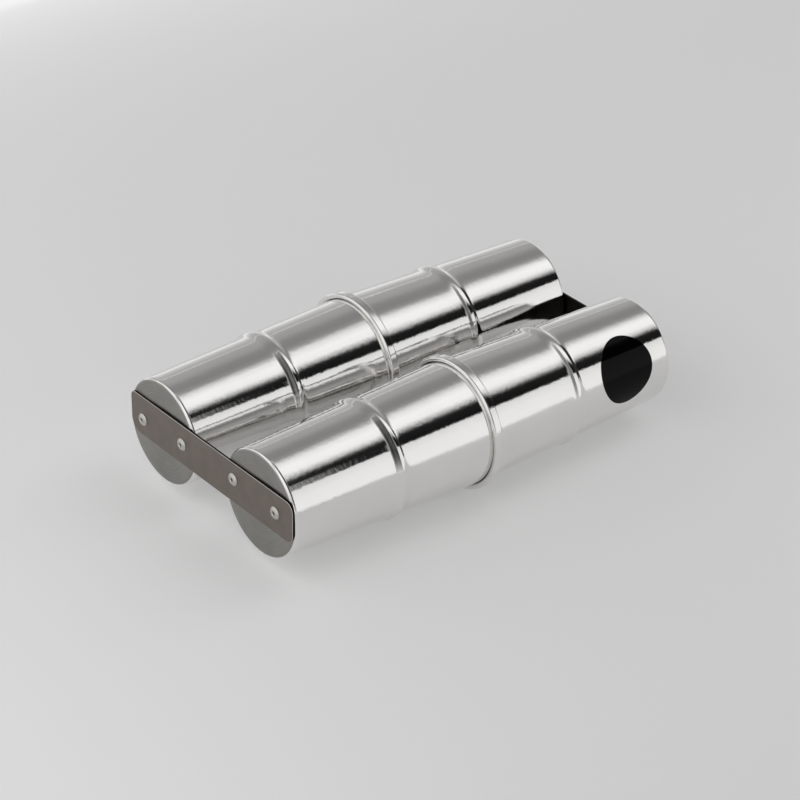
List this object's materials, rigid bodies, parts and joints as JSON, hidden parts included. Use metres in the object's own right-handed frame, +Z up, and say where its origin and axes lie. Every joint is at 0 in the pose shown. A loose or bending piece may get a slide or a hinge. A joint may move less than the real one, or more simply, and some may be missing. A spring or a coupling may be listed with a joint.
{
  "type": "ganza shaker",
  "caption": "Hand shaker of two side-by-side tapered metal tubes with rolled middle seams, riveted end strips and loose pellets sealed inside.",
  "frame": {"origin": "middle of the bounding box's bottom, between the two middle seams that the shaker rests on", "axes": "+X along the tubes from the front end to the rear end, +Y from the near tube to the far tube, +Z up"},
  "size_m": [0.2398, 0.1468, 0.0684],
  "materials": {
    "tube_metal": "polished to a mirror, closed ends satin",
    "strip_metal": "grey satin",
    "rivet_metal": "plain bright",
    "mandrel_steel": "plain, broken end",
    "label_vinyl": "gloss black, bare",
    "pellet_steel": "plain cut wire"
  },
  "bodies": {
    "shaker": {"near_front_cup": "tube_metal", "near_rear_cup": "tube_metal", "far_front_cup": "tube_metal", "far_rear_cup": "tube_metal", "front_strip": "strip_metal", "front_near_outer_rivet": "rivet_metal", "front_near_outer_mandrel": "mandrel_steel", "front_near_inner_rivet": "rivet_metal", "front_near_inner_mandrel": "mandrel_steel", "front_far_inner_rivet": "rivet_metal", "front_far_inner_mandrel": "mandrel_steel", "front_far_outer_rivet": "rivet_metal", "front_far_outer_mandrel": "mandrel_steel", "rear_strip": "strip_metal", "rear_near_outer_rivet": "rivet_metal", "rear_near_outer_mandrel": "mandrel_steel", "rear_near_inner_rivet": "rivet_metal", "rear_near_inner_mandrel": "mandrel_steel", "rear_far_inner_rivet": "rivet_metal", "rear_far_inner_mandrel": "mandrel_steel", "rear_far_outer_rivet": "rivet_metal", "rear_far_outer_mandrel": "mandrel_steel", "label": "label_vinyl"},
    "near_filling": {"near_pellets": "pellet_steel"},
    "far_filling": {"far_pellets": "pellet_steel"}
  },
  "joints": [
    {"name": "near_filling_swirl", "type": "hinge", "parent": "shaker", "child": "near_filling", "pos_m": [0, -0.03925, 0.0342], "axis": [1, 0, 0], "continuous": true},
    {"name": "far_filling_swirl", "type": "hinge", "parent": "shaker", "child": "far_filling", "pos_m": [0, 0.03925, 0.0342], "axis": [1, 0, 0], "continuous": true}
  ]
}
